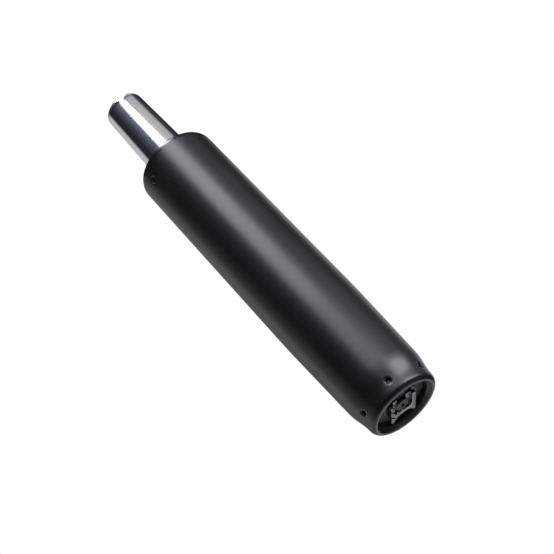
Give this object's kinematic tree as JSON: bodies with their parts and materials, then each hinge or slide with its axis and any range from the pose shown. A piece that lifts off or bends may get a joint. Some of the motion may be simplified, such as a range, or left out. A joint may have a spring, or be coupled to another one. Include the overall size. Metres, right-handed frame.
{
  "type": "chair gas lift cylinder",
  "caption": "Lockable gas spring in a black tapered column tube: its chromed tube lifts and swivels a chair seat, and a pin in the top end releases it.",
  "frame": {"origin": "centre of the foot ring, at the lowest plane of the column tube", "axes": "+Z along the lift axis, towards the release pin; one bottom dent faces -Y"},
  "size_m": [0.05, 0.05, 0.281],
  "materials": {
    "tube_paint": "satin black powder coat",
    "plate_black": "black oxide, slightly oily",
    "chrome": "polished chrome plate",
    "rod_steel": "ground and hard chromed",
    "bearing_steel": "ground bearing steel",
    "spring_steel": "bright zinc plate",
    "washer_steel": "dark zinc plate",
    "guide_plastic": "moulded black plastic",
    "white_plastic": "natural moulded plastic",
    "wear_plastic": "bronze-filled wear ring",
    "rubber": "moulded black rubber",
    "brass": "turned",
    "aluminium": "drawn or turned"
  },
  "bodies": {
    "column": {"outer_tube": "tube_paint", "guide_bush": "guide_plastic", "base_plate": "plate_black", "lower_race": "bearing_steel"},
    "bearing_cage": {"ball_cage": "brass", "bearing_balls": "bearing_steel"},
    "rod": {"piston_rod": "rod_steel", "upper_race": "bearing_steel", "bump_washer": "spring_steel", "bump_stop": "rubber", "end_washer": "washer_steel", "retaining_clip": "spring_steel", "piston": "aluminium", "piston_seal": "rubber", "piston_ring": "wear_plastic", "piston_nut": "spring_steel", "stroke_sleeve": "white_plastic"},
    "cartridge": {"pressure_tube": "chrome", "retainer_washer": "spring_steel", "rod_seal": "rubber", "rod_guide": "white_plastic", "guide_o_ring": "rubber", "inner_cylinder": "aluminium", "valve_housing": "brass", "housing_o_ring": "rubber", "spigot_o_ring": "rubber", "stem_seal": "rubber", "top_cap": "washer_steel"},
    "release": {"release_pin": "rod_steel", "valve_stem": "rod_steel"}
  },
  "joints": [
    {"name": "swivel", "type": "hinge", "parent": "column", "child": "rod", "pos_m": [0, 0, 0], "axis": [0, 0, 1], "continuous": true},
    {"name": "cage_orbit", "type": "hinge", "parent": "column", "child": "bearing_cage", "pos_m": [0, 0, 0], "axis": [0, 0, 1], "continuous": true},
    {"name": "lift", "type": "slide", "parent": "rod", "child": "cartridge", "axis": [0, 0, 1], "range_m": [0, 0.1]},
    {"name": "release_press", "type": "slide", "parent": "cartridge", "child": "release", "axis": [0, 0, -1], "range_m": [0, 0.003], "stiffness_N_per_m": 1500, "springref_m": -0.002}
  ],
  "couplings": [
    {"joint": "cage_orbit", "follows": "swivel", "ratio": 0.5}
  ]
}
